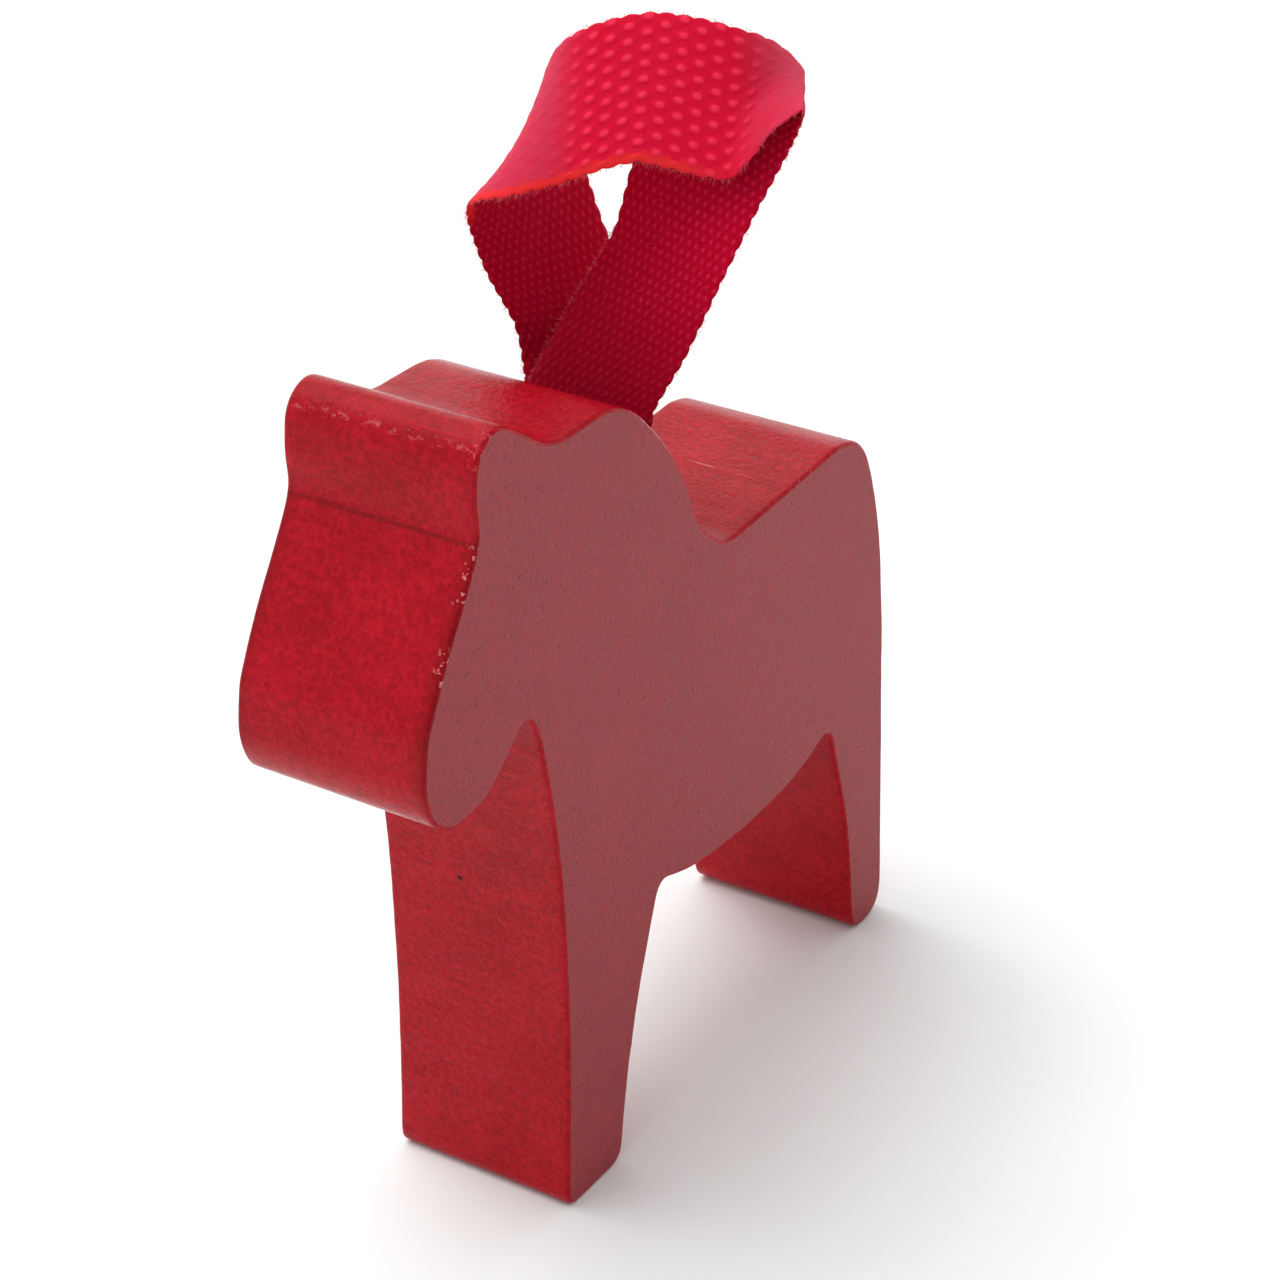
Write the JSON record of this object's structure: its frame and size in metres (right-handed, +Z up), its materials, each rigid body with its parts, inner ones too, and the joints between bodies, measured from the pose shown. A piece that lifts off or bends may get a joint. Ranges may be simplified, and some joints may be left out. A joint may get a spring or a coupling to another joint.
{
  "type": "dala horse ornament",
  "caption": "Flat cut-out wooden dala horse, painted red, with a woven red ribbon loop to hang it by.",
  "frame": {"origin": "middle of the front foot's sole, on the surface that the horse stands on", "axes": "+X the way the horse looks, +Y to its left, +Z up"},
  "size_m": [0.0615, 0.0223, 0.083],
  "materials": {
    "painted_wood": "thin red paint, dull on the flat sides and glossier on the cut edges",
    "ribbon_fabric": "plain-woven ribbon with a slight sheen",
    "dried_glue": "clear yellowish glue"
  },
  "bodies": {
    "root": {"horse_body": "painted_wood", "ribbon_loop": "ribbon_fabric", "slot_glue": "dried_glue"}
  },
  "joints": []
}
